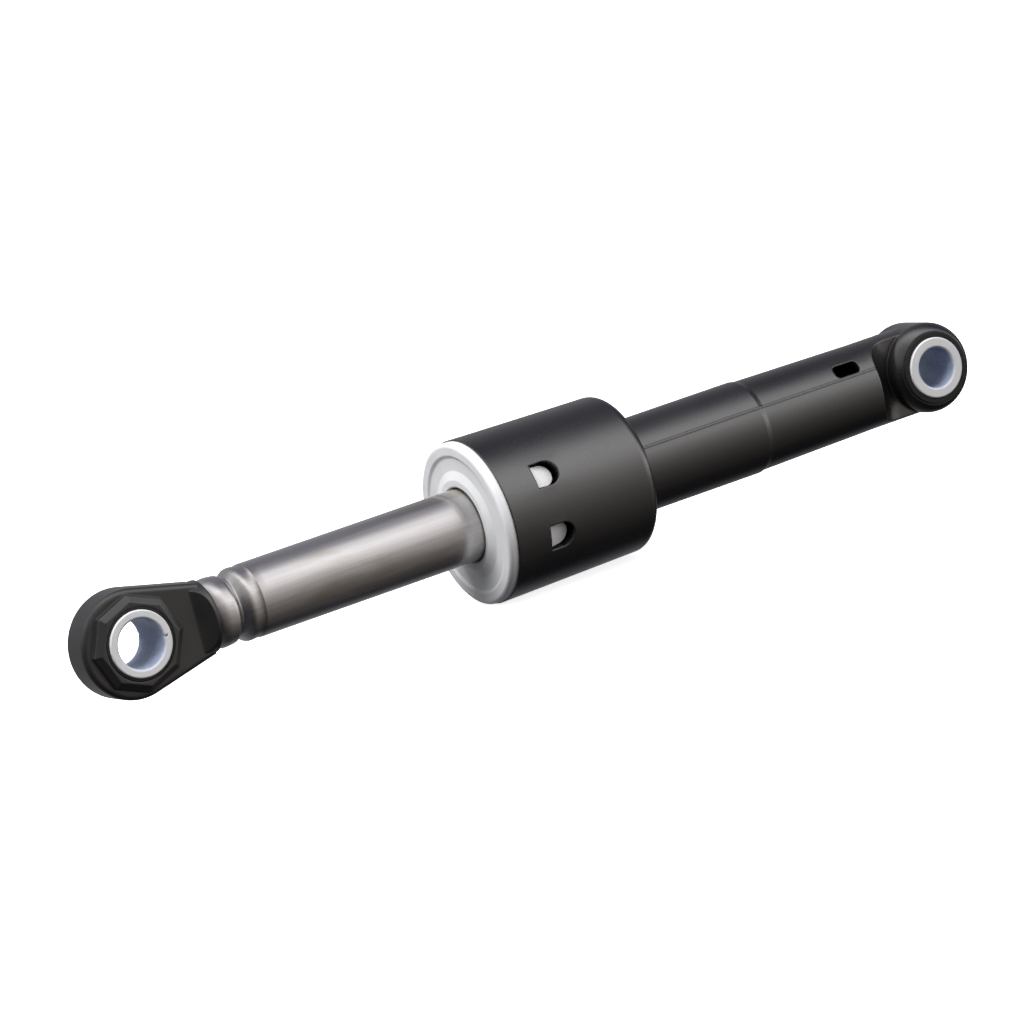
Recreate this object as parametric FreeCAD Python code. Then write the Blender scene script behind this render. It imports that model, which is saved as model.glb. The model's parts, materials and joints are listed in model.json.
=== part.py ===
import FreeCAD, Part
import math
import os

# Washing machine shock absorber: a friction damper with a sliding steel rod and a pin eye at each end.
# Millimetres, +Z up. The damper axis is X and both eye bores run along Y. The origin is the centre of the
# housing eye's bore, and the rod leaves the housing towards +X. A station is a distance along X from there,
# with the rod drawn out as it lies at rest.

V = FreeCAD.Vector
ORIGIN = V(0, 0, 0)
AXIS_X = V(1, 0, 0)
AXIS_Y = V(0, 1, 0)
AXIS_Z = V(0, 0, 1)

# Driving dimensions: length and travel
EYE_DISTANCE = 248.2         # between the two bores at rest, which sets how far the rod can go in
TRAVEL_OUT = 10.0            # rod travel outwards from rest
FREE_TRAVEL = 4.0            # of the friction cage, each way from the middle
ROD_RESERVE = 13.56          # bare rod left outside the cap at full compression

# Driving dimensions: fits
PRESS_GAP = 0.02             # between pieces pressed or rolled together
RUNNING_GAP = 0.05           # between the rod and what slides on it
SLIDING_GAP = 0.15           # between pieces that guide each other loosely
SIDE_GAP = 0.3               # between pieces that only pass each other
STOP_GAP = 0.2               # left at each end stop

# Driving dimensions: moulded edges
FINE_EDGE = 0.3              # rounding of the sharpest edges
SMALL_EDGE = 0.6             # rounding of most edges and inside corners
DEEP_CORNER = 1.5            # rounding at the foot of the head's wall
EDGE_SHARE = 0.45            # the most of a wall that a rounding may take

# Driving dimensions: pin bushes
ROD_PIN_BORE = 13.0
HOUSING_PIN_BORE = 11.0
ROD_SLEEVE_WALL = 2.3
HOUSING_SLEEVE_WALL = 2.8
SLEEVE_LEAD_IN = 0.5
SLEEVE_PROUD = 0.5           # beyond its eye, at each end
SLEEVE_NOTCH_WIDTH = 0.7     # of the small notches in the rod eye's sleeve
SLEEVE_NOTCH_DEPTH = 0.8
ROD_RUBBER_WALL = 0.9
HOUSING_RUBBER_WALL = 1.6
RUBBER_ROUNDING = 0.4

# Driving dimensions: steel rod
ROD_OD = 20.0
ROD_WALL = 1.2
ROLL_LENGTH = 13.5           # length of the rolled end that grips the eye
ROLL_GROOVE = 1.9            # depth of the rolled groove
ROLL_PROFILE = [             # shares of the rolled length from the lip, and of the groove's depth
    (0.00, 0.95), (0.06, 0.55), (0.14, 0.34), (0.24, 0.26), (0.35, 0.34), (0.47, 0.55),
    (0.56, 1.00), (0.63, 0.58), (0.70, 0.16), (0.77, 0.03), (0.87, 0.08), (1.00, 0.00),
]
RING_SEAT_DEPTH = 1.4        # depth of the neck that holds the guide ring
RING_LIP_HEIGHT = 0.8
RING_LIP_LENGTH = 0.8
RING_RAMP = 1.6

# Driving dimensions: rod eye
ROD_BOSS_SIDES = 8
ROD_BOSS_WALL = 0.6          # from the hole to the boss's flats, at its top
ROD_BOSS_LENGTH = 15.4       # along the bore
ROD_BOSS_BEVEL = 1.6         # how much wider the boss is under its bevelled top
ROD_BOSS_BEVEL_DEPTH = 1.1
ROD_BOSS_FLARE = 0.3         # and how much wider again at its root
ROD_EYE_WALL = 4.71
ROD_EYE_TIP = 0.8            # how far the disc's centre lies beyond the bore
ROD_EYE_PLATE = 10.4
ROD_EYE_EDGE = 1.4
FLANK_LENGTH = 6.75          # straight flanks beyond the eye's disc
FLANK_SCOOP = 0.8            # where the scoop is down to the plate, as a share of the flanks
COLLAR_LENGTH = 0.8
COLLAR_DROP = 0.1            # how much smaller the collar is than the rod, on the radius
SPIGOT_LENGTH = 24.0
SPIGOT_HOLLOW_WALL = 2.6

# Driving dimensions: guide ring on the rod's inner end
RING_LENGTH = 4.5
RING_PLAY = 0.1
RING_SPLIT = 1.6

# Driving dimensions: housing tube
TUBE_PLAY = 0.7              # between the rod and the bore
TUBE_WALL = 2.3              # beside the head
TUBE_STEP_WALL = 1.95        # just past the step
TUBE_EYE_WALL = 1.35         # at the eye
TUBE_STEP_FROM_HEAD = 41.6
TUBE_STEP_RAMP = 1.4
BOTTOM_GAP = 0.5             # between the rod and the bore's floor at full compression
PARTING_HEIGHT = 0.16        # of the mould's parting line
PARTING_WIDTH = 0.6
PARTING_ANGLE = 27.0         # degrees from +Y towards +Z

# Driving dimensions: housing head
HEAD_WALL = 2.55
HEAD_BACK_WALL = 4.4
HEAD_DRAFT = 1.2             # degrees on each side
HEAD_ROUNDING = 2.8
HEAD_ROOT_FILLET = 0.8

# Driving dimensions: housing eye
HOUSING_EYE_WALL = 2.46
HOUSING_DRUM_LENGTH = 20.0   # along the bore
HOUSING_DRUM_ROUNDING = 4.6
HOUSING_NECK_PLATE = 9.5
EYE_TO_FLOOR = 8.64          # from the drum to the floor of the rod's bore
SCOOP_BEFORE_FLOOR = 1.8     # where the round tube starts to narrow into the neck
NECK_PLATE_AT = 0.9          # where the neck is down to its plate, as a share of the eye's radius
SCOOP_HOLLOW = 0.22          # height left at the middle of a scoop, as a share of its depth
SCOOP_LEAN = 0.3             # how far a steep scoop's middle moves towards its round end

# Driving dimensions: vent slot near the housing eye
VENT_FROM_FLOOR = 6.4
VENT_LENGTH = 8.0
VENT_WIDTH = 4.0
VENT_ROUNDING = 1.5
VENT_ANGLE = 39.0            # degrees from +Y towards +Z

# Driving dimensions: latch windows in the head and the cap's snap lugs
WINDOW_ANGLE = 22.5          # degrees above and below the middle of a pair
WINDOW_TURN = 3.5            # degrees of a pair's middle from +Y towards +Z
WINDOW_FROM_FRONT = 10.3     # from the head's open end to a window's flat
WINDOW_LENGTH = 7.4
WINDOW_WIDTH = 7.0
LUG_HEIGHT = 1.7
LUG_TOE = 0.3                # height of a lug at its round end
LUG_GAP_BEHIND = 1.2         # between a lug's round end and its window
LUG_SIDE_GAP = 0.5           # between a lug and its window, at each side
TONGUE_SLIT = 1.0
TONGUE_ROOT = 2.4            # how far the slits reach past a window's flat

# Driving dimensions: guide cap
FLANGE_THICKNESS = 2.6
FLANGE_SET_IN = 0.35         # smaller than the head, on the radius
FLANGE_ROUNDING = 1.3
CAP_RIM = 3.2
CAP_RECESS = 0.5
CAP_RECESS_SLOPE = 1.6       # run of the recess's side for each millimetre of its depth
CAP_PLATE = 2.4
CAP_DEPTH = 4.2              # from the head's open end to the end of the rod guide
COLLAR_WALL = 2.2
COLLAR_PROUD = 0.3           # beyond the flange's face
COLLAR_FLARE = 2.4
SKIRT_WALL = 1.8
CAP_RIBS = 8
CAP_RIB_THICKNESS = 1.4

# Driving dimensions: friction unit inside the head
BUFFER_THICKNESS = 4.0
BUFFER_WALL = 4.0
BUFFER_ROUNDING = 1.4
LINING_THICKNESS = 4.6
LINING_SLIT = 0.8
CAGE_LENGTH = 20.0
CAGE_WALL = 2.4
CAGE_END_WALL = 2.0
CAGE_SIDE_GAP = 0.75
CAGE_EDGE = 0.6
COVER_STEP = 1.4
CAGE_GROOVES = 3
CAGE_GROOVE_WIDTH = 2.4
CAGE_GROOVE_DEPTH = 0.9

# Radii, worked out from the inside
ROD_RADIUS = ROD_OD / 2
ROD_SLEEVE_RADIUS = ROD_PIN_BORE / 2 + ROD_SLEEVE_WALL
ROD_HOLE_RADIUS = ROD_SLEEVE_RADIUS + ROD_RUBBER_WALL + 2 * PRESS_GAP
HOUSING_SLEEVE_RADIUS = HOUSING_PIN_BORE / 2 + HOUSING_SLEEVE_WALL
HOUSING_HOLE_RADIUS = HOUSING_SLEEVE_RADIUS + HOUSING_RUBBER_WALL + 2 * PRESS_GAP
ROD_EYE_RADIUS = ROD_HOLE_RADIUS + ROD_EYE_WALL
HOUSING_EYE_RADIUS = HOUSING_HOLE_RADIUS + HOUSING_EYE_WALL
TUBE_BORE_RADIUS = ROD_RADIUS + TUBE_PLAY
RING_SEAT_RADIUS = ROD_RADIUS - RING_SEAT_DEPTH
RING_RADIUS = TUBE_BORE_RADIUS - RUNNING_GAP
GUIDE_RADIUS = ROD_RADIUS + SLIDING_GAP
BUFFER_BORE_RADIUS = ROD_RADIUS + SIDE_GAP
BUFFER_RADIUS = BUFFER_BORE_RADIUS + BUFFER_WALL
LINING_BORE_RADIUS = ROD_RADIUS + RUNNING_GAP
LINING_RADIUS = LINING_BORE_RADIUS + LINING_THICKNESS
CAGE_BORE_RADIUS = LINING_RADIUS + PRESS_GAP
CAGE_RADIUS = CAGE_BORE_RADIUS + CAGE_WALL

# Lengths of the groups along the damper, and the rod travel that the eye distance leaves room for
TUBE_FLOOR = HOUSING_EYE_RADIUS + EYE_TO_FLOOR
RING_GROUP = RING_LIP_LENGTH + RING_PLAY + RING_LENGTH
FRICTION_GROUP = CAGE_LENGTH + 2 * (BUFFER_THICKNESS + STOP_GAP + FREE_TRAVEL)
CAP_GROUP = CAP_DEPTH + FLANGE_THICKNESS + COLLAR_PROUD
ROD_EYE_GROUP = COLLAR_LENGTH + FLANK_LENGTH + ROD_EYE_RADIUS
HOUSING_GROUPS = TUBE_FLOOR + BOTTOM_GAP + RING_GROUP + TRAVEL_OUT + STOP_GAP + FRICTION_GROUP + CAP_GROUP
TRAVEL_IN = (EYE_DISTANCE - HOUSING_GROUPS - ROD_RESERVE - ROD_EYE_GROUP) / 2

# Stations along the damper, worked out from the housing eye
SCOOP_START = TUBE_FLOOR - SCOOP_BEFORE_FLOOR
ROD_INNER_END = TUBE_FLOOR + BOTTOM_GAP + TRAVEL_IN
RING_BACK = ROD_INNER_END + RING_LIP_LENGTH + RING_PLAY
RING_FRONT = RING_BACK + RING_LENGTH
HEAD_FLOOR = RING_FRONT + TRAVEL_OUT + STOP_GAP
HEAD_BACK = HEAD_FLOOR - HEAD_BACK_WALL
CAGE_BACK = HEAD_FLOOR + BUFFER_THICKNESS + STOP_GAP + FREE_TRAVEL
CAGE_FRONT = CAGE_BACK + CAGE_LENGTH
GUIDE_END = CAGE_FRONT + FREE_TRAVEL + STOP_GAP + BUFFER_THICKNESS
HEAD_FRONT = GUIDE_END + CAP_DEPTH
CAP_FACE = HEAD_FRONT + FLANGE_THICKNESS
CAP_PLATE_FRONT = CAP_FACE - CAP_RECESS
CAP_PLATE_BACK = CAP_PLATE_FRONT - CAP_PLATE
COLLAR_TOP = CAP_FACE + COLLAR_PROUD
WINDOW_FRONT = HEAD_FRONT - WINDOW_FROM_FRONT
WINDOW_BACK = WINDOW_FRONT - WINDOW_LENGTH
LUG_HALF = WINDOW_WIDTH / 2 - LUG_SIDE_GAP
LUG_BACK = WINDOW_BACK + LUG_GAP_BEHIND
SKIRT_END = LUG_BACK + LUG_HALF
TUBE_STEP = HEAD_BACK - TUBE_STEP_FROM_HEAD
ROD_END = COLLAR_TOP + TRAVEL_IN + ROD_RESERVE
ROD_NECK = ROD_END + COLLAR_LENGTH
ROD_EYE = ROD_NECK + FLANK_LENGTH + ROD_EYE_RADIUS
VENT_AT = TUBE_FLOOR + VENT_FROM_FLOOR


def skirt_inner_radius(x):
    """The cap's skirt clears the cage at its narrow end and follows the head's draft from there."""
    return CAGE_RADIUS + CAGE_SIDE_GAP + (x - SKIRT_END) * math.tan(math.radians(HEAD_DRAFT))


def skirt_radius(x):
    return skirt_inner_radius(x) + SKIRT_WALL


def cavity_radius(x):
    return skirt_radius(x) + SLIDING_GAP


def head_radius(x):
    return cavity_radius(x) + HEAD_WALL


def soft(radius, *walls):
    """A corner radius, limited by the walls that it rounds."""
    return min([radius] + [EDGE_SHARE * wall for wall in walls])


# Shape helpers

def rounded_wire(corners, place):
    """Closed wire through (u, v, radius) corners, where a corner with a radius becomes a tangent arc."""
    points = [V(u, v, 0) for u, v, _ in corners]
    spans = []
    for i, here in enumerate(points):
        radius = corners[i][2]
        back = (points[i - 1] - here).normalize()
        ahead = (points[(i + 1) % len(points)] - here).normalize()
        if radius <= 0:
            spans.append((here, None, here))
            continue
        half = back.getAngle(ahead) / 2
        reach = radius / math.tan(half)
        crown = here + (back + ahead).normalize() * (radius / math.sin(half) - radius)
        spans.append((here + back * reach, crown, here + ahead * reach))
    edges = []
    for i, (start, crown, end) in enumerate(spans):
        if crown is not None:
            edges.append(Part.Arc(place(start), place(crown), place(end)).toShape())
        following = spans[(i + 1) % len(spans)][0]
        if (following - end).Length > 1e-6:
            edges.append(Part.LineSegment(place(end), place(following)).toShape())
    return Part.Wire(edges)


def turned(corners):
    """Solid turned about the damper axis from (x, radius, rounding) corners."""
    face = Part.Face(rounded_wire(corners, lambda p: V(p.x, 0, p.y)))
    return face.revolve(ORIGIN, AXIS_X, 360)


def turned_about_bore(x, corners):
    """Solid turned about the bore at station x from (radius, y, rounding) corners."""
    face = Part.Face(rounded_wire(corners, lambda p: V(x + p.x, p.y, 0)))
    return face.revolve(V(x, 0, 0), AXIS_Y, 360)


def mirrored(half):
    """Corners of a half section and the same corners mirrored to the other side of the bore's middle."""
    return half + [(u, -v, rounding) for u, v, rounding in reversed(half)]


def ring(start, end, inner, outer, rounding=0.0):
    return turned([(start, inner, rounding), (end, inner, rounding), (end, outer, rounding),
                   (start, outer, rounding)])


def bore_ring(x, inner, outer, length, rounding=0.0):
    half = length / 2
    return turned_about_bore(x, mirrored([(inner, half, rounding), (outer, half, rounding)]))


def drilled(x, radius, length):
    return Part.makeCylinder(radius, length, V(x, -length / 2, 0), AXIS_Y)


def about_axis(shape, degrees):
    copy = shape.copy()
    copy.rotate(ORIGIN, AXIS_X, degrees)
    return copy


def paddle(eye, radius, neck, neck_half, thickness):
    """Plate round an eye: a disc whose two tangent flanks run to the neck, centred on Y = 0."""
    side = math.copysign(1, neck - eye)
    run = abs(neck - eye)
    angle = math.atan2(neck_half, run) + math.acos(min(1.0, radius / math.hypot(run, neck_half)))
    y = -thickness / 2
    upper = V(eye + side * radius * math.cos(angle), y, radius * math.sin(angle))
    lower = V(upper.x, y, -upper.z)
    far = V(eye - side * radius, y, 0)
    neck_upper = V(neck, y, neck_half)
    neck_lower = V(neck, y, -neck_half)
    outline = Part.Wire([
        Part.LineSegment(neck_lower, lower).toShape(),
        Part.Arc(lower, far, upper).toShape(),
        Part.LineSegment(upper, neck_upper).toShape(),
        Part.LineSegment(neck_upper, neck_lower).toShape(),
    ])
    return Part.Face(outline).extrude(AXIS_Y * thickness)


def scooped(shape, plate_at, plate_half, round_at, round_half):
    """Cuts the +Y and -Y sides of a round neck down to a flat plate with one concave scoop each."""
    side = math.copysign(1, plate_at - round_at)
    tall = 2 * round_half
    beyond = plate_at + side * 2 * tall
    depth = round_half - plate_half
    run = abs(plate_at - round_at)
    tilt = math.atan2(depth, run)
    middle_x = plate_at - side * run / 2 * (1 + SCOOP_LEAN * math.sin(tilt))
    middle_y = plate_half + depth * SCOOP_HOLLOW
    for mirror in (1, -1):
        start = V(round_at, mirror * round_half, -tall)
        middle = V(middle_x, mirror * middle_y, -tall)
        end = V(plate_at, mirror * plate_half, -tall)
        out = V(beyond, mirror * plate_half, -tall)
        corner = V(beyond, mirror * tall, -tall)
        top = V(round_at, mirror * tall, -tall)
        edges = [Part.Arc(start, middle, end).toShape()]
        for a, b in ((end, out), (out, corner), (corner, top), (top, start)):
            edges.append(Part.LineSegment(a, b).toShape())
        shape = shape.cut(Part.Face(Part.Wire(edges)).extrude(AXIS_Z * (2 * tall)))
    return shape


def outline_edges(plate, thickness):
    """Edges round the two flat faces of a plate that is centred on Y = 0."""
    return [edge for edge in plate.Edges if abs(abs(edge.CenterOfMass.y) - thickness / 2) < 1e-6]


def window_angles():
    """A pair of windows on each side of the head, one above and one below the pair's middle."""
    return [side + WINDOW_TURN + turn for side in (0, 180) for turn in (-WINDOW_ANGLE, WINDOW_ANGLE)]


def window_prism(front, back, width, inner, outer):
    """D-shaped prism along +Y, flat towards the cap and round towards the housing eye."""
    half = width / 2
    turn = back + half
    flat_low = V(front, inner, -half)
    flat_high = V(front, inner, half)
    round_high = V(turn, inner, half)
    round_low = V(turn, inner, -half)
    outline = Part.Wire([
        Part.LineSegment(round_low, flat_low).toShape(),
        Part.LineSegment(flat_low, flat_high).toShape(),
        Part.LineSegment(flat_high, round_high).toShape(),
        Part.Arc(round_high, V(back, inner, 0), round_low).toShape(),
    ])
    return Part.Face(outline).extrude(AXIS_Y * (outer - inner))


# Pin bushes

def make_rubber(eye, length, sleeve_radius, rubber_wall):
    inner = sleeve_radius + PRESS_GAP
    return bore_ring(eye, inner, inner + rubber_wall, length, soft(RUBBER_ROUNDING, rubber_wall))


def make_sleeve(eye, length, bore, wall):
    """Bush that the mounting pin goes through, with a lead-in at each end."""
    half = length / 2
    lead = soft(SLEEVE_LEAD_IN, wall)
    inner = bore / 2
    outer = inner + wall
    return turned_about_bore(eye, mirrored([
        (inner, half - lead, 0),
        (inner + lead, half, 0),
        (outer - lead / 2, half, 0),
        (outer, half - lead / 2, 0),
    ]))


def make_housing_sleeve():
    return make_sleeve(0, HOUSING_DRUM_LENGTH + 2 * SLEEVE_PROUD, HOUSING_PIN_BORE, HOUSING_SLEEVE_WALL)


def make_rod_sleeve():
    """The rod eye's bush, with a small notch in each end on the side of the rod."""
    length = ROD_BOSS_LENGTH + 2 * SLEEVE_PROUD
    reach = ROD_SLEEVE_RADIUS - ROD_SLEEVE_WALL / 2
    corner = V(ROD_EYE - reach, 0, -SLEEVE_NOTCH_WIDTH / 2)
    bush = make_sleeve(ROD_EYE, length, ROD_PIN_BORE, ROD_SLEEVE_WALL)
    for start in (-length / 2, length / 2 - SLEEVE_NOTCH_DEPTH):
        notch = Part.makeBox(reach, SLEEVE_NOTCH_DEPTH, SLEEVE_NOTCH_WIDTH, corner + AXIS_Y * start)
        bush = bush.cut(notch)
    return bush


# Rod and its eye

def rolled_curve(set_in):
    """Rolled outline of the rod's outer end, from the lip inwards, set in from the steel's outside."""
    points = []
    for along, down in ROLL_PROFILE:
        radius = ROD_RADIUS - down * ROLL_GROOVE - set_in
        points.append(V(ROD_END - along * ROLL_LENGTH, 0, radius))
    curve = Part.BSplineCurve()
    curve.interpolate(points)
    return curve.toShape(), points[0], points[-1]


def joined_face(curves, corners):
    """Face bounded by curves and by straight runs through the corners."""
    runs = [Part.LineSegment(a, b).toShape() for a, b in zip(corners, corners[1:])]
    return Part.Face(Part.Wire(Part.__sortEdges__(curves + runs)))


def make_rod_tube():
    outer, outer_lip, outer_start = rolled_curve(0)
    inner, inner_lip, inner_start = rolled_curve(ROD_WALL)
    seat_start = RING_FRONT + RING_PLAY
    seat_end = RING_BACK - RING_PLAY
    lip_radius = RING_SEAT_RADIUS + RING_LIP_HEIGHT
    bend = ROD_WALL * math.tan(math.atan2(RING_SEAT_DEPTH, RING_RAMP) / 2)
    tail = [
        (seat_start + RING_RAMP, ROD_RADIUS),
        (seat_start, RING_SEAT_RADIUS),
        (seat_end, RING_SEAT_RADIUS),
        (seat_end, lip_radius),
        (ROD_INNER_END, lip_radius),
        (ROD_INNER_END, RING_SEAT_RADIUS - ROD_WALL),
        (seat_start + bend, RING_SEAT_RADIUS - ROD_WALL),
        (seat_start + RING_RAMP + bend, ROD_RADIUS - ROD_WALL),
    ]
    chain = [outer_start] + [V(x, 0, radius) for x, radius in tail] + [inner_start]
    closing = Part.LineSegment(inner_lip, outer_lip).toShape()
    return joined_face([outer, inner, closing], chain).revolve(ORIGIN, AXIS_X, 360)


def make_spigot():
    """Hollow plastic plug inside the rod, with the groove that the rolled end grips."""
    grip, lip, start = rolled_curve(ROD_WALL + PRESS_GAP)
    end = ROD_END - SPIGOT_LENGTH
    hollow = start.z - SPIGOT_HOLLOW_WALL
    hollow_end = ROD_END - ROLL_LENGTH
    chain = [start, V(end, 0, start.z), V(end, 0, hollow), V(hollow_end, 0, hollow), V(hollow_end, 0, 0),
             V(ROD_END, 0, 0), lip]
    return joined_face([grip], chain).revolve(ORIGIN, AXIS_X, 360)


def boss_outline(flat, y):
    """Polygon round the rod eye's bore at height y, whose flats lie at the given radius."""
    corner = flat / math.cos(math.pi / ROD_BOSS_SIDES)
    points = []
    for i in range(ROD_BOSS_SIDES + 1):
        turn = 2 * math.pi * i / ROD_BOSS_SIDES
        points.append(V(ROD_EYE + corner * math.cos(turn), y, corner * math.sin(turn)))
    return Part.makePolygon(points)


def make_rod_eye():
    """Plastic eye: plate with a many-sided boss round the bush, a scooped neck and the plug in the rod."""
    plate_half = ROD_EYE_PLATE / 2
    sunk = plate_half - FINE_EDGE
    boss_half = ROD_BOSS_LENGTH / 2
    collar_radius = ROD_RADIUS - COLLAR_DROP
    neck_half = collar_radius - FINE_EDGE
    plate = paddle(ROD_EYE + ROD_EYE_TIP, ROD_EYE_RADIUS, ROD_NECK, neck_half, ROD_EYE_PLATE)
    plate = plate.makeFillet(soft(ROD_EYE_EDGE, plate_half), outline_edges(plate, ROD_EYE_PLATE))
    scoop_end = ROD_NECK + FLANK_SCOOP * FLANK_LENGTH
    collar = ring(ROD_END, ROD_NECK + FLANK_LENGTH, 0, collar_radius)
    collar = scooped(collar, scoop_end, sunk, ROD_NECK, collar_radius)
    top = ROD_HOLE_RADIUS + ROD_BOSS_WALL
    shoulder = top + ROD_BOSS_BEVEL
    root = shoulder + ROD_BOSS_FLARE
    steps = [(top, boss_half), (shoulder, boss_half - ROD_BOSS_BEVEL_DEPTH), (root, sunk)]
    sections = [(flat, -y) for flat, y in steps] + [(flat, y) for flat, y in reversed(steps)]
    boss = Part.makeLoft([boss_outline(flat, y) for flat, y in sections], True, True)
    body = plate.fuse([collar, boss, make_spigot()])
    return body.cut(drilled(ROD_EYE, ROD_HOLE_RADIUS, 2 * ROD_BOSS_LENGTH)).removeSplitter()


def make_rod_guide_ring():
    """Split ring on the rod's inner end: it steadies the rod in the tube and stops it pulling out."""
    inner = RING_SEAT_RADIUS + RUNNING_GAP
    band = ring(RING_BACK, RING_FRONT, inner, RING_RADIUS, soft(FINE_EDGE, RING_RADIUS - inner))
    corner = V(RING_BACK - RING_LENGTH, -RING_SPLIT / 2, 0)
    return band.cut(Part.makeBox(3 * RING_LENGTH, RING_SPLIT, 2 * RING_RADIUS, corner))


# Housing

def tube_outline():
    """Stations and radii along the outside of the tube, from the eye to the head."""
    return [
        (0, TUBE_BORE_RADIUS + TUBE_EYE_WALL),
        (SCOOP_START, TUBE_BORE_RADIUS + TUBE_EYE_WALL),
        (TUBE_STEP - TUBE_STEP_RAMP / 2, TUBE_BORE_RADIUS + TUBE_STEP_WALL),
        (TUBE_STEP + TUBE_STEP_RAMP / 2, TUBE_BORE_RADIUS + TUBE_WALL),
    ]


def make_housing_shell():
    """Tube and head in one turned moulding, still solid, with the neck scooped down to a plate."""
    tube = [(x, radius, 0) for x, radius in tube_outline()]
    head_step = head_radius(HEAD_BACK) - TUBE_BORE_RADIUS - TUBE_WALL
    shell = turned([(0, 0, 0)] + tube + [
        (HEAD_BACK, TUBE_BORE_RADIUS + TUBE_WALL, soft(HEAD_ROOT_FILLET, head_step)),
        (HEAD_BACK, head_radius(HEAD_BACK), soft(HEAD_ROUNDING, head_step)),
        (HEAD_FRONT, head_radius(HEAD_FRONT), 0),
        (HEAD_FRONT, 0, 0),
    ])
    neck_radius = TUBE_BORE_RADIUS + TUBE_EYE_WALL
    plate_at = NECK_PLATE_AT * HOUSING_EYE_RADIUS
    return scooped(shell, plate_at, HOUSING_NECK_PLATE / 2, SCOOP_START, neck_radius)


def make_housing_hollow():
    """Head cavity and rod bore."""
    return turned([
        (TUBE_FLOOR, 0, 0),
        (TUBE_FLOOR, TUBE_BORE_RADIUS, SMALL_EDGE),
        (HEAD_FLOOR, TUBE_BORE_RADIUS, 0),
        (HEAD_FLOOR, cavity_radius(HEAD_FLOOR), soft(DEEP_CORNER, HEAD_WALL)),
        (HEAD_FRONT + SIDE_GAP, cavity_radius(HEAD_FRONT + SIDE_GAP), 0),
        (HEAD_FRONT + SIDE_GAP, 0, 0),
    ])


def make_housing_drum():
    rounding = soft(HOUSING_DRUM_ROUNDING, HOUSING_DRUM_LENGTH, HOUSING_EYE_RADIUS)
    return turned_about_bore(0, mirrored([
        (0, HOUSING_DRUM_LENGTH / 2, 0),
        (HOUSING_EYE_RADIUS, HOUSING_DRUM_LENGTH / 2, rounding),
    ]))


def make_parting_lines():
    """Fine raised lines along both sides of the tube, where the mould halves met."""
    sweep = math.degrees(PARTING_WIDTH / (TUBE_BORE_RADIUS + TUBE_WALL))
    outside = tube_outline()[1:] + [(HEAD_BACK + HEAD_BACK_WALL / 2, TUBE_BORE_RADIUS + TUBE_WALL)]
    sink = TUBE_EYE_WALL / 2
    corners = [(x, radius + PARTING_HEIGHT, 0) for x, radius in outside]
    corners += [(x, radius - sink, 0) for x, radius in reversed(outside)]
    face = Part.Face(rounded_wire(corners, lambda p: V(p.x, p.y, 0)))
    line = face.revolve(ORIGIN, AXIS_X, sweep)
    return [about_axis(line, PARTING_ANGLE - sweep / 2 + turn) for turn in (0, 180)]


def make_vent():
    rounding = soft(VENT_ROUNDING, VENT_LENGTH, VENT_WIDTH)
    corners = []
    for u, v in ((-1, -1), (1, -1), (1, 1), (-1, 1)):
        corners.append((VENT_AT + u * VENT_LENGTH / 2, v * VENT_WIDTH / 2, rounding))
    face = Part.Face(rounded_wire(corners, lambda p: V(p.x, 0, p.y)))
    return about_axis(face.extrude(AXIS_Y * (2 * TUBE_BORE_RADIUS)), VENT_ANGLE)


def make_housing():
    body = make_housing_shell().fuse([make_housing_drum()] + make_parting_lines())
    outside = 2 * head_radius(HEAD_FRONT)
    window = window_prism(WINDOW_FRONT, WINDOW_BACK, WINDOW_WIDTH, LINING_RADIUS, outside)
    cuts = [make_housing_hollow(), make_vent(), drilled(0, HOUSING_HOLE_RADIUS, 2 * HOUSING_DRUM_LENGTH)]
    cuts += [about_axis(window, angle) for angle in window_angles()]
    return body.cut(cuts).removeSplitter()


# Guide cap

def make_cap_body():
    """Flange, recessed face, collar, rod guide and skirt as one turned moulding."""
    flange = head_radius(HEAD_FRONT) - FLANGE_SET_IN
    rim = flange - CAP_RIM
    collar = GUIDE_RADIUS + COLLAR_WALL
    guide = BUFFER_RADIUS
    recess_wall = rim - collar - COLLAR_FLARE
    return turned([
        (GUIDE_END, GUIDE_RADIUS, FINE_EDGE),
        (COLLAR_TOP, GUIDE_RADIUS, soft(SMALL_EDGE, COLLAR_WALL)),
        (COLLAR_TOP, collar, soft(SMALL_EDGE, COLLAR_WALL)),
        (CAP_PLATE_FRONT, collar + COLLAR_FLARE, soft(SMALL_EDGE, recess_wall)),
        (CAP_PLATE_FRONT, rim - CAP_RECESS * CAP_RECESS_SLOPE, soft(SMALL_EDGE, recess_wall)),
        (CAP_FACE, rim, soft(SMALL_EDGE, CAP_RIM)),
        (CAP_FACE, flange, soft(FLANGE_ROUNDING, FLANGE_THICKNESS, CAP_RIM)),
        (HEAD_FRONT, flange, 0),
        (HEAD_FRONT, skirt_radius(HEAD_FRONT), 0),
        (SKIRT_END, skirt_radius(SKIRT_END), soft(SMALL_EDGE, SKIRT_WALL)),
        (SKIRT_END, skirt_inner_radius(SKIRT_END), 0),
        (CAP_PLATE_BACK, skirt_inner_radius(CAP_PLATE_BACK), soft(SMALL_EDGE, SKIRT_WALL)),
        (CAP_PLATE_BACK, guide, FINE_EDGE),
        (GUIDE_END, guide, FINE_EDGE),
    ])


def make_snap_lug():
    """Ramped lug on the skirt: full height at its flat and almost level with the skirt at its round end."""
    front = WINDOW_FRONT - SLIDING_GAP
    root = skirt_inner_radius(LUG_BACK) + SKIRT_WALL / 2
    ramp = turned([
        (LUG_BACK, root, 0),
        (front, root, 0),
        (front, skirt_radius(front) + LUG_HEIGHT, 0),
        (LUG_BACK, skirt_radius(LUG_BACK) + LUG_TOE, 0),
    ])
    return ramp.common(window_prism(front, LUG_BACK, 2 * LUG_HALF, root / 2, 2 * root))


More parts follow.
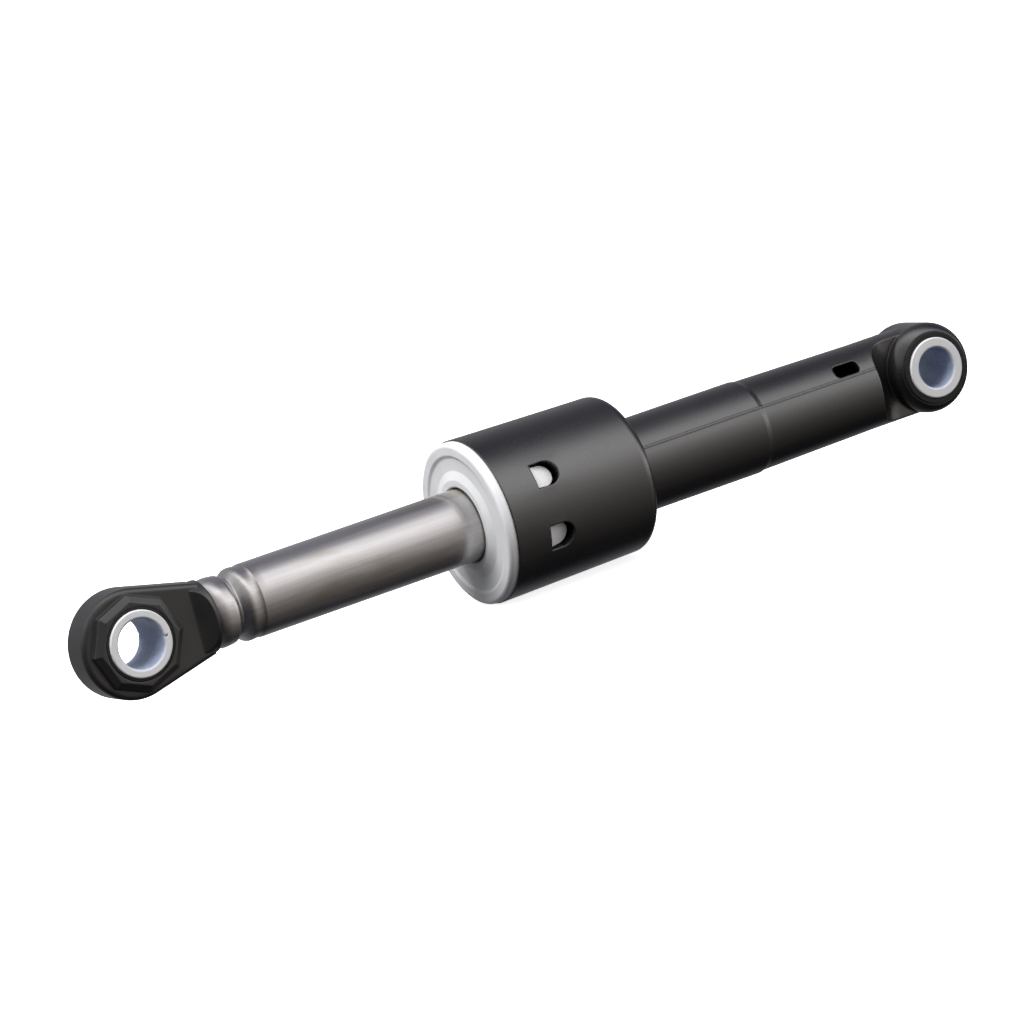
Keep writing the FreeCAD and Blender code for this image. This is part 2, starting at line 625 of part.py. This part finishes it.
def make_tongue_slits():
    """Slots beside each lug, which let its stretch of the skirt spring inwards."""
    start = LUG_BACK - SIDE_GAP
    length = WINDOW_FRONT + TONGUE_ROOT - start
    inner = CAGE_RADIUS
    slits = []
    for side in (-1, 1):
        z = side * (LUG_HALF + TONGUE_SLIT / 2) - TONGUE_SLIT / 2
        slits.append(Part.makeBox(length, inner, TONGUE_SLIT, V(start, inner / 2, z)))
    return slits


def make_guide_cap():
    guide = BUFFER_RADIUS
    reach = skirt_inner_radius(GUIDE_END) - guide + SKIRT_WALL / 2
    depth = CAP_PLATE_BACK - GUIDE_END + CAP_PLATE / 2
    corner = V(GUIDE_END, guide - BUFFER_WALL / 2, -CAP_RIB_THICKNESS / 2)
    rib = Part.makeBox(depth, reach + BUFFER_WALL / 2, CAP_RIB_THICKNESS, corner)
    added = [about_axis(rib, i * 360 / CAP_RIBS) for i in range(CAP_RIBS)]
    slits = []
    for angle in window_angles():
        added.append(about_axis(make_snap_lug(), angle))
        slits += [about_axis(slit, angle) for slit in make_tongue_slits()]
    return make_cap_body().cut(slits).fuse(added).removeSplitter()


# Friction unit

def make_buffer(start):
    rounding = soft(BUFFER_ROUNDING, BUFFER_THICKNESS, BUFFER_WALL)
    return ring(start, start + BUFFER_THICKNESS, BUFFER_BORE_RADIUS, BUFFER_RADIUS, rounding)


def make_friction_lining():
    """Felt strip bent into a ring, with the gap where its ends meet."""
    start = CAGE_BACK + CAGE_END_WALL + PRESS_GAP
    end = CAGE_FRONT - CAGE_END_WALL - COVER_STEP - PRESS_GAP
    corner = V(CAGE_BACK - CAGE_LENGTH / 2, -LINING_SLIT / 2, 0)
    slit = Part.makeBox(2 * CAGE_LENGTH, LINING_SLIT, 2 * LINING_RADIUS, corner)
    return ring(start, end, LINING_BORE_RADIUS, LINING_RADIUS).cut(slit)


def make_lining_cage():
    """Cup that holds the lining, with cooling grooves round its outside."""
    edge = soft(CAGE_EDGE, CAGE_WALL, CAGE_END_WALL)
    cup_front = CAGE_FRONT - CAGE_END_WALL
    cup = turned([
        (CAGE_BACK, BUFFER_BORE_RADIUS, 0),
        (CAGE_BACK, CAGE_RADIUS, edge),
        (cup_front, CAGE_RADIUS, 0),
        (cup_front, CAGE_BORE_RADIUS, 0),
        (CAGE_BACK + CAGE_END_WALL, CAGE_BORE_RADIUS, 0),
        (CAGE_BACK + CAGE_END_WALL, BUFFER_BORE_RADIUS, 0),
    ])
    pitch = (cup_front - CAGE_BACK) / CAGE_GROOVES
    depth = soft(CAGE_GROOVE_DEPTH, CAGE_WALL)
    for i in range(CAGE_GROOVES):
        middle = CAGE_BACK + (i + 0.5) * pitch
        half = soft(CAGE_GROOVE_WIDTH / 2, pitch)
        cup = cup.cut(ring(middle - half, middle + half, CAGE_RADIUS - depth, CAGE_RADIUS + SIDE_GAP))
    return cup


def make_cage_cover():
    seat = CAGE_FRONT - CAGE_END_WALL
    step_radius = CAGE_BORE_RADIUS - PRESS_GAP
    return turned([
        (seat - COVER_STEP, BUFFER_BORE_RADIUS, 0),
        (seat - COVER_STEP, step_radius, 0),
        (seat + PRESS_GAP, step_radius, 0),
        (seat + PRESS_GAP, CAGE_RADIUS, 0),
        (CAGE_FRONT, CAGE_RADIUS, soft(CAGE_EDGE, CAGE_WALL, CAGE_END_WALL)),
        (CAGE_FRONT, BUFFER_BORE_RADIUS, 0),
    ])


def make_parts():
    return {
        "housing": make_housing(),
        "guide_cap": make_guide_cap(),
        "housing_eye_rubber": make_rubber(0, HOUSING_DRUM_LENGTH, HOUSING_SLEEVE_RADIUS, HOUSING_RUBBER_WALL),
        "housing_eye_sleeve": make_housing_sleeve(),
        "front_buffer": make_buffer(GUIDE_END - BUFFER_THICKNESS),
        "rear_buffer": make_buffer(HEAD_FLOOR),
        "lining_cage": make_lining_cage(),
        "cage_cover": make_cage_cover(),
        "friction_lining": make_friction_lining(),
        "rod_guide_ring": make_rod_guide_ring(),
        "rod_tube": make_rod_tube(),
        "rod_eye": make_rod_eye(),
        "rod_eye_rubber": make_rubber(ROD_EYE, ROD_BOSS_LENGTH, ROD_SLEEVE_RADIUS, ROD_RUBBER_WALL),
        "rod_eye_sleeve": make_rod_sleeve(),
    }


def main():
    os.makedirs("parts", exist_ok=True)
    for name, shape in make_parts().items():
        print(name, "valid" if shape.isValid() else "NOT VALID", len(shape.Solids), round(shape.Volume, 1))
        shape.exportStep("parts/" + name + ".step")
    print("rod eye at", round(ROD_EYE, 3), "travel in", round(TRAVEL_IN, 3))
    print("head from", round(HEAD_BACK, 3), "to", round(HEAD_FRONT, 3))


main()
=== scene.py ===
"""Washing machine shock absorber: looks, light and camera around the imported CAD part.

Metres, in the CAD frame.
"""
import json
import math

import bpy
from mathutils import Matrix, Vector


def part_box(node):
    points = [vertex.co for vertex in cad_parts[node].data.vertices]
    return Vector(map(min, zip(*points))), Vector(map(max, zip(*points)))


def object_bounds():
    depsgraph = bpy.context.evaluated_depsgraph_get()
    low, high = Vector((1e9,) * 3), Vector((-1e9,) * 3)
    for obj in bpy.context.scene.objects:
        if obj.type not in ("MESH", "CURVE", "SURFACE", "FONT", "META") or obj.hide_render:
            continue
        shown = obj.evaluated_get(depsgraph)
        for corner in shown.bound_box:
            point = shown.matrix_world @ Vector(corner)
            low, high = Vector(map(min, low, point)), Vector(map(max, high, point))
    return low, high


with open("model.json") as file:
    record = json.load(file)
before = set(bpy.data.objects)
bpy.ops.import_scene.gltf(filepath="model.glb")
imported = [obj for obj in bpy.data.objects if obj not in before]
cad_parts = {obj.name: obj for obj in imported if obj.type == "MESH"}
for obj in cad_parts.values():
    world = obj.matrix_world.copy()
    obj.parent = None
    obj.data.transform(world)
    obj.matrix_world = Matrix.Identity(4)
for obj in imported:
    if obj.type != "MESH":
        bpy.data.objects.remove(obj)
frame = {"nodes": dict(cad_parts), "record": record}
cad_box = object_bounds()
nodes = frame["nodes"]
MM = 0.001
NOISE_LOW = 0.3              # usual range of a noise
NOISE_HIGH = 0.7
EDGE_STARTS = 0.995          # cosine between the true and the rounded normal where an edge starts
EDGE_FULL = 0.80
BEVEL_SAMPLES = 6
MIX_FIRST = 6                # sockets of a mix node that carry colours
MIX_SECOND = 7
MIX_RESULT = 2


# Node helpers

class Graph:
    """Node tree of a material or the world, with short calls for the nodes that the looks share."""

    def __init__(self, owner, shader, place):
        owner.use_nodes = True
        self.owner = owner
        self.tree = owner.node_tree
        self.shader = next(n for n in self.tree.nodes if n.type == shader)
        self.place = self.node("ShaderNodeTexCoord").outputs[place]

    def node(self, kind, **settings):
        made = self.tree.nodes.new(kind)
        for key, value in settings.items():
            setattr(made, key, value)
        return made

    def link(self, source, target):
        self.tree.links.new(source, target)

    def feed(self, socket, value):
        """Links an output to the socket, or sets a plain number or colour on it."""
        if isinstance(value, bpy.types.NodeSocket):
            self.link(value, socket)
        else:
            socket.default_value = value

    def scaled(self, factors):
        """The object coordinates, stretched by a factor per axis."""
        made = self.node("ShaderNodeMapping")
        self.link(self.place, made.inputs["Vector"])
        made.inputs["Scale"].default_value = factors
        return made.outputs["Vector"]

    def noise(self, size_mm, detail=3.0, roughness=0.55, vector=None, distortion=0.0):
        """Noise whose main features are about size_mm across."""
        made = self.node("ShaderNodeTexNoise")
        self.link(vector or self.place, made.inputs["Vector"])
        made.inputs["Scale"].default_value = 1 / (size_mm * MM)
        made.inputs["Detail"].default_value = detail
        made.inputs["Roughness"].default_value = roughness
        made.inputs["Distortion"].default_value = distortion
        return made.outputs["Fac"]

    def cells(self, size_mm):
        """Distance from the middle of cells about size_mm across."""
        made = self.node("ShaderNodeTexVoronoi")
        self.link(self.place, made.inputs["Vector"])
        made.inputs["Scale"].default_value = 1 / (size_mm * MM)
        return made.outputs["Distance"]

    def spread(self, value, low, high, to_low, to_high):
        """Maps low..high to to_low..to_high, clamped."""
        made = self.node("ShaderNodeMapRange", clamp=True)
        self.link(value, made.inputs["Value"])
        limits = {"From Min": low, "From Max": high, "To Min": to_low, "To Max": to_high}
        for socket, number in limits.items():
            made.inputs[socket].default_value = number
        return made.outputs["Result"]

    def vary(self, noise, to_low, to_high):
        """Maps the usual range of a noise to to_low..to_high."""
        return self.spread(noise, NOISE_LOW, NOISE_HIGH, to_low, to_high)

    def math(self, operation, a, b=0.0):
        made = self.node("ShaderNodeMath", operation=operation)
        self.feed(made.inputs[0], a)
        self.feed(made.inputs[1], b)
        return made.outputs["Value"]

    def mix(self, factor, first, second):
        """Mixes two colours."""
        made = self.node("ShaderNodeMix", data_type="RGBA")
        self.feed(made.inputs["Factor"], factor)
        self.feed(made.inputs[MIX_FIRST], first)
        self.feed(made.inputs[MIX_SECOND], second)
        return made.outputs[MIX_RESULT]

    def apart(self):
        """The place's X, Y and Z."""
        made = self.node("ShaderNodeSeparateXYZ")
        self.link(self.place, made.inputs["Vector"])
        return made.outputs["X"], made.outputs["Y"], made.outputs["Z"]

    def from_axis(self, across, centre):
        """Distance from an axis through the centre, where across has a 1 for each direction that counts."""
        flat = self.node("ShaderNodeVectorMath", operation="MULTIPLY")
        self.link(self.place, flat.inputs[0])
        flat.inputs[1].default_value = across
        away = self.node("ShaderNodeVectorMath", operation="DISTANCE")
        self.link(flat.outputs["Vector"], away.inputs[0])
        away.inputs[1].default_value = [c * a for c, a in zip(centre, across)]
        return away.outputs["Value"]

    def soft_edges(self, radius_mm):
        """Shading normal with the edges rounded off, as a moulding has them."""
        made = self.node("ShaderNodeBevel", samples=BEVEL_SAMPLES)
        made.inputs["Radius"].default_value = radius_mm * MM
        return made.outputs["Normal"]

    def edge_mask(self, rounded):
        """0 on flat ground and towards 1 on an edge that the rounding turns."""
        across = self.node("ShaderNodeVectorMath", operation="DOT_PRODUCT")
        self.link(rounded, across.inputs[0])
        self.link(self.node("ShaderNodeNewGeometry").outputs["Normal"], across.inputs[1])
        return self.spread(across.outputs["Value"], EDGE_STARTS, EDGE_FULL, 0.0, 1.0)

    def bump(self, height, depth_mm, strength, normal=None):
        made = self.node("ShaderNodeBump")
        made.inputs["Strength"].default_value = strength
        made.inputs["Distance"].default_value = depth_mm * MM
        self.link(height, made.inputs["Height"])
        if normal is not None:
            self.link(normal, made.inputs["Normal"])
        return made.outputs["Normal"]

    def set(self, **values):
        """Feeds the shader's sockets, named with underscores for blanks."""
        for key, value in values.items():
            self.feed(self.shader.inputs[key.replace("_", " ")], value)
        return self.owner


def finish(name):
    return Graph(bpy.data.materials.new(name), "BSDF_PRINCIPLED", "Object")


def rgb(red, green, blue):
    return (red, green, blue, 1.0)


# Finishes

def black_plastic(name, shade, roughness, grain_mm, specular, edge_mm):
    """Satin black moulding: fine spark-eroded grain, faint flow marks and paler rubbed edges."""
    g = finish(name)
    rounded = g.soft_edges(edge_mm)
    edge = g.edge_mask(rounded)
    flow = g.noise(16, detail=4, vector=g.scaled((0.35, 1, 1)), distortion=0.6)
    grain = g.noise(grain_mm, detail=2)
    pits = g.cells(grain_mm * 2.2)
    rubbed = g.math("MULTIPLY", edge, g.spread(g.noise(3.2, detail=4), 0.42, 0.66, 0.1, 1.0))
    dark = rgb(0.7 * shade, 0.7 * shade, 0.73 * shade)
    pale = rgb(1.3 * shade, 1.26 * shade, 1.22 * shade)
    scuffed = rgb(0.040, 0.038, 0.036)
    colour = g.mix(rubbed, g.mix(g.vary(flow, 0, 1), dark, pale), scuffed)
    satin = g.math("ADD", g.vary(flow, roughness - 0.035, roughness + 0.045), g.vary(grain, -0.03, 0.03))
    relief = g.bump(pits, 0.03, 0.12, g.bump(grain, 0.025, 0.15, g.bump(flow, 0.12, 0.10, rounded)))
    return g.set(Base_Color=colour, Roughness=satin, Normal=relief, Specular_IOR_Level=specular, IOR=1.62)


def white_plastic(name, across, centre, full, gone, painted_shade_tints):
    """White acetal with soft gloss and faint flow clouds, with painted shade near an axis.

    The painted shade is at its strongest up to the full radius and ends at the gone radius.
    """
    g = finish(name)
    rounded = g.soft_edges(0.25)
    clouds = g.noise(9, detail=4, distortion=0.8)
    grain = g.noise(0.5, detail=2)
    clean = g.mix(g.spread(clouds, 0.32, 0.68, 0, 1), rgb(0.76, 0.77, 0.79), rgb(0.82, 0.825, 0.84))
    # painted shade: darker tints blended in close to the axis, where a bore or a crease would be in shadow
    painted_shade = g.mix(g.spread(g.noise(2.5, detail=4), 0.35, 0.65, 0, 1), *painted_shade_tints)
    near = g.spread(g.from_axis(across, centre), full, gone, 1.0, 0.0)
    gloss = g.math("ADD", g.vary(clouds, 0.30, 0.40), g.vary(grain, -0.03, 0.03))
    relief = g.bump(grain, 0.02, 0.12, g.bump(clouds, 0.10, 0.10, rounded))
    return g.set(Base_Color=g.mix(near, clean, painted_shade), Roughness=gloss, Normal=relief, IOR=1.48,
                 Subsurface_Weight=0.12, Subsurface_Radius=(1.0, 0.9, 0.8), Subsurface_Scale=0.0012)


def bush(bore):
    """White bush whose bore is painted blue-grey as shade."""
    radius = bore["dims"]["r_mm"] * MM
    # blue-grey painted shade inside the bore
    painted_shade_tints = (rgb(0.34, 0.40, 0.55), rgb(0.43, 0.49, 0.63))
    return white_plastic("white_" + bore["name"], across=(1, 0, 1), centre=bore["pos_m"],
                         full=1.01 * radius, gone=1.08 * radius, painted_shade_tints=painted_shade_tints)


def cap():
    """White cap with brownish painted shade on the collar, where the rod meets it."""
    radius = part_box("rod_tube")[1].z
    # brownish painted shade in the crease where the rod meets the collar
    painted_shade_tints = (rgb(0.30, 0.26, 0.21), rgb(0.60, 0.57, 0.53))
    return white_plastic("white_cap", across=(0, 1, 1), centre=(0, 0, 0),
                         full=1.025 * radius, gone=1.09 * radius, painted_shade_tints=painted_shade_tints)


RING_FROM_END = 13.2 * MM    # from the steel tube's outer end to the middle of a brown band painted on as a dark reflection behind the rolled end
RING_SOLID = 0.2 * MM        # to each side of its middle
RING_FADED = 2.8 * MM


def drawn_steel():
    """Bright drawn tube: fine lines along it, warm oily patches and a brown band of painted dark reflection
    behind the rolled end.
    """
    g = finish("drawn_steel")
    lines = g.noise(0.22, detail=3, roughness=0.6, vector=g.scaled((0.012, 1, 1)))
    streaks = g.noise(1.6, detail=3, vector=g.scaled((0.03, 1, 1)))
    film = g.noise(14, detail=4, vector=g.scaled((0.4, 1, 1)), distortion=0.5)
    oil = g.noise(7, detail=5, vector=g.scaled((0.22, 1, 1)), distortion=0.7)
    tone = g.mix(g.spread(film, 0.35, 0.68, 0, 1), rgb(0.445, 0.424, 0.422), rgb(0.395, 0.372, 0.360))
    bright = g.mix(g.spread(streaks, 0.40, 0.66, 0, 0.85), tone, rgb(0.53, 0.515, 0.517))
    oiled = g.mix(g.spread(oil, 0.52, 0.70, 0, 0.6), bright, rgb(0.325, 0.297, 0.22))
    # painted dark reflection: a patchy brown band round the tube just behind the rolled end
    ring_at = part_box("rod_tube")[1].x - RING_FROM_END
    off_ring = g.math("ABSOLUTE", g.math("SUBTRACT", g.apart()[0], ring_at))
    patchy = g.spread(g.noise(5, detail=4), 0.42, 0.66, 0, 0.7)
    ring = g.math("MULTIPLY", g.spread(off_ring, RING_SOLID, RING_FADED, 1, 0), patchy)
    colour = g.mix(ring, oiled, rgb(0.13, 0.10, 0.075))
    gloss = g.math("ADD", g.vary(film, 0.31, 0.38), g.vary(lines, -0.03, 0.04))
    relief = g.bump(lines, 0.010, 0.10, g.bump(streaks, 0.02, 0.08, g.soft_edges(0.15)))
    tangent = g.node("ShaderNodeTangent", direction_type="RADIAL", axis="X").outputs["Tangent"]
    g.set(Base_Color=colour, Metallic=0.97, Roughness=gloss, Normal=relief)
    g.set(Tangent=tangent, Anisotropic=0.6)
    return g.set(Coat_Weight=1.0, Coat_Roughness=0.06, Coat_IOR=1.95, Coat_Normal=relief)


def rubber():
    """Matt black rubber with a dusty bloom."""
    g = finish("rubber")
    bloom = g.noise(2.4, detail=5)
    grain = g.noise(0.18, detail=2)
    colour = g.mix(g.spread(bloom, 0.35, 0.7, 0, 1), rgb(0.008, 0.008, 0.008), rgb(0.022, 0.021, 0.020))
    relief = g.bump(grain, 0.03, 0.3, g.soft_edges(0.2))
    return g.set(Base_Color=colour, Roughness=g.vary(bloom, 0.68, 0.86), Normal=relief)


def natural_plastic():
    """Uncoloured nylon of the hidden guide ring: warm ivory, greased."""
    g = finish("natural_nylon")
    clouds = g.noise(7, detail=4, distortion=0.6)
    grease = g.noise(3, detail=5)
    colour = g.mix(g.vary(clouds, 0, 1), rgb(0.66, 0.62, 0.52), rgb(0.74, 0.71, 0.62))
    relief = g.bump(g.noise(0.4, detail=2), 0.02, 0.15, g.soft_edges(0.2))
    return g.set(Base_Color=colour, Roughness=g.spread(grease, 0.35, 0.65, 0.22, 0.5), Normal=relief)


def felt():
    """Greased grey-brown felt: matted fibres over darker soaked patches."""
    g = finish("felt")
    fibres = g.noise(0.35, detail=5, roughness=0.7, vector=g.scaled((0.5, 1, 1)), distortion=1.5)
    soaked = g.noise(6, detail=4)
    base = g.mix(g.vary(fibres, 0, 1), rgb(0.17, 0.14, 0.10), rgb(0.34, 0.30, 0.23))
    colour = g.mix(g.spread(soaked, 0.4, 0.65, 0, 0.6), base, rgb(0.12, 0.095, 0.06))
    relief = g.bump(fibres, 0.25, 0.7)
    return g.set(Base_Color=colour, Roughness=g.spread(soaked, 0.4, 0.65, 0.95, 0.6), Normal=relief,
                 Sheen_Weight=0.3)


CAGE_BLACK = black_plastic("black_nylon_cage", shade=0.012, roughness=0.45, grain_mm=0.50,
                           specular=0.5, edge_mm=0.3)
RUBBER = rubber()
BORES = {mount["name"]: mount for mount in frame["record"]["mounts"]}
FINISH = {
    "housing": black_plastic("black_nylon_housing", shade=0.0078, roughness=0.265, grain_mm=0.42,
                             specular=1.0, edge_mm=0.6),
    "rod_eye": black_plastic("black_nylon_eye", shade=0.019, roughness=0.33, grain_mm=0.34,
                             specular=0.6, edge_mm=0.45),
    "guide_cap": cap(),
    "housing_eye_sleeve": bush(BORES["housing_eye_bore"]),
    "rod_eye_sleeve": bush(BORES["rod_eye_bore"]),
    "rod_tube": drawn_steel(),
    "housing_eye_rubber": RUBBER,
    "rod_eye_rubber": RUBBER,
    "front_buffer": RUBBER,
    "rear_buffer": RUBBER,
    "lining_cage": CAGE_BLACK,
    "cage_cover": CAGE_BLACK,
    "rod_guide_ring": natural_plastic(),
    "friction_lining": felt(),
}
for name, material in FINISH.items():
    for slot in nodes[name].material_slots:
        slot.material = material


# Floor, light and camera

FLOOR_HALF = 9.0
FLOOR_GLOW = 0.84            # keeps the floor as pale as the photograph's background


def make_floor():
    """Wide pale floor just under the part. It lights neither the part nor its reflections."""
    low = cad_box[0].z
    corners = [(x * FLOOR_HALF, y * FLOOR_HALF, low) for x, y in ((-1, -1), (1, -1), (1, 1), (-1, 1))]
    mesh = bpy.data.meshes.new("floor")
    mesh.from_pydata(corners, [], [(0, 1, 2, 3)])
    floor = bpy.data.objects.new("floor", mesh)
    bpy.context.scene.collection.objects.link(floor)
    g = finish("pale_floor")
    paper = g.mix(g.noise(40, detail=5), rgb(0.90, 0.90, 0.90), rgb(0.93, 0.93, 0.93))
    g.set(Base_Color=paper, Roughness=0.9, Specular_IOR_Level=0.1)
    g.set(Emission_Color=rgb(1, 1, 1), Emission_Strength=FLOOR_GLOW)
    mesh.materials.append(g.owner)
    floor.visible_glossy = False
    floor.visible_diffuse = False


# Brightness of the studio round the damper axis: degrees from +Y up through +Z, and the colour there
STUDIO = [
    (-180, (0.09, 0.09, 0.100)),
    (-140, (0.04, 0.04, 0.048)),
    (-106, (0.008, 0.008, 0.011)),
    (-80, (0.018, 0.017, 0.018)),
    (-56, (0.054, 0.049, 0.046)),
    (-30, (0.118, 0.109, 0.102)),
    (-7, (0.240, 0.224, 0.216)),
    (16, (0.47, 0.448, 0.440)),
    (34, (0.85, 0.836, 0.831)),
    (50, (0.98, 0.97, 0.98)),
    (64, (0.86, 0.86, 0.88)),
    (79, (0.41, 0.41, 0.435)),
    (92, (0.105, 0.106, 0.133)),
    (120, (0.044, 0.046, 0.070)),
    (180, (0.09, 0.09, 0.100)),
]
STUDIO_STRENGTH = 1.9
LEAN_FROM = -0.45            # share of +X in a direction at which the bright band is as listed
LEAN = 1.1                   # radians that it leans over the top for each further share of 1
END_FADE = (0.0, 0.6)        # shares of +X between which it dims past the rod's end
END_DARK = (0.01, 0.01, 0.012)
END_DIMMED = 0.8             # how far it dims towards that colour
ABOVE_FADE = (0.05, 0.5)     # shares of +Z between which a white fill sets in past the rod's end
ABOVE_FILL = 0.26
BEHIND_FADE = (-0.3, -0.9)   # shares of +Y between which a white fill sets in behind the part
BEHIND_FILL = 0.12


def make_studio():
    """Soft wrap of light round the damper axis: brightest above the front and leaning over, dark below."""
    world = bpy.data.worlds.new("studio")
    bpy.context.scene.world = world
    g = Graph(world, "BACKGROUND", "Generated")
    x, y, z = g.apart()
    lean = g.math("MULTIPLY", g.math("SUBTRACT", x, LEAN_FROM), LEAN)
    turn = g.math("SUBTRACT", g.math("ARCTAN2", z, y), lean)
    ramp = g.node("ShaderNodeValToRGB")
    stops = ramp.color_ramp.elements
    while len(stops) < len(STUDIO):
        stops.new(1.0)
    for stop, (degrees, colour) in zip(stops, STUDIO):
        stop.position = (degrees + 180) / 360
        stop.color = rgb(*colour)
    ramp.color_ramp.interpolation = "EASE"
    wrapped = g.math("WRAP", turn, math.pi)
    wrapped.node.inputs[2].default_value = -math.pi
    g.link(g.spread(wrapped, -math.pi, math.pi, 0.0, 1.0), ramp.inputs["Fac"])
    past_end = g.spread(x, *END_FADE, 0.0, 1.0)
    band = g.mix(g.math("MULTIPLY", past_end, END_DIMMED), ramp.outputs["Color"], rgb(*END_DARK))
    above = g.math("MULTIPLY", past_end, g.spread(z, *ABOVE_FADE, 0.0, ABOVE_FILL))
    fill = g.math("MAXIMUM", above, g.spread(y, *BEHIND_FADE, 0.0, BEHIND_FILL))
    g.set(Color=g.mix(fill, band, rgb(1, 1, 1)), Strength=STUDIO_STRENGTH)


KEY_PLACE = (0.62, 0.10, 0.95)
KEY_AIM = (0.14, 0, 0)
KEY_SIDE = 0.9
KEY_WATTS = 16.0


def make_key():
    """Square softbox above the rod's end. Reflections show the studio's bright band instead of it."""
    light = bpy.data.lights.new("key", "AREA")
    light.size = KEY_SIDE
    light.energy = KEY_WATTS
    key = bpy.data.objects.new("key", light)
    key.location = KEY_PLACE
    key.rotation_mode = "QUATERNION"
    key.rotation_quaternion = (Vector(KEY_AIM) - Vector(KEY_PLACE)).to_track_quat("-Z", "Y")
    key.visible_glossy = False
    bpy.context.scene.collection.objects.link(key)


CAMERA_AZIMUTH = 152.53      # degrees round the part, from -Y towards +X
CAMERA_ELEVATION = 9.33
CAMERA_ROLL = -14.44
CAMERA_CENTRE = (0.120, 0, 0)
CAMERA_DISTANCE = 1.573
AIM_LEFT = 0.00991           # how far left of and below the centre it aims
AIM_DOWN = 0.00438
FOCAL_PIXELS = 5918.6        # focal length in pixels of a picture this many pixels wide
PICTURE_PIXELS = 1024
SENSOR_MM = 36.0


def make_camera():
    """Long lens at the photograph's angle, turned about the part and aimed a little off its centre."""
    azimuth, elevation, roll = (math.radians(a) for a in (CAMERA_AZIMUTH, CAMERA_ELEVATION, CAMERA_ROLL))
    centre = Vector(CAMERA_CENTRE)
    back = Vector((math.sin(azimuth) * math.cos(elevation), -math.cos(azimuth) * math.cos(elevation),
                   math.sin(elevation)))
    level = Vector((math.cos(azimuth), math.sin(azimuth), 0))
    upright = back.cross(level)
    right = level * math.cos(roll) + upright * math.sin(roll)
    up = upright * math.cos(roll) - level * math.sin(roll)
    place = centre + back * CAMERA_DISTANCE
    aim = centre - right * AIM_LEFT - up * AIM_DOWN
    toward = (place - aim).normalized()
    right = up.cross(toward).normalized()
    up = toward.cross(right)
    data = bpy.data.cameras.new("camera")
    data.sensor_width = SENSOR_MM
    data.lens = FOCAL_PIXELS * SENSOR_MM / PICTURE_PIXELS
    camera = bpy.data.objects.new("camera", data)
    camera.matrix_world = Matrix((
        (right.x, up.x, toward.x, place.x),
        (right.y, up.y, toward.y, place.y),
        (right.z, up.z, toward.z, place.z),
        (0, 0, 0, 1),
    ))
    bpy.context.scene.collection.objects.link(camera)
    bpy.context.scene.camera = camera


make_floor()
make_studio()
make_key()
make_camera()
bpy.context.scene.view_settings.view_transform = "Standard"
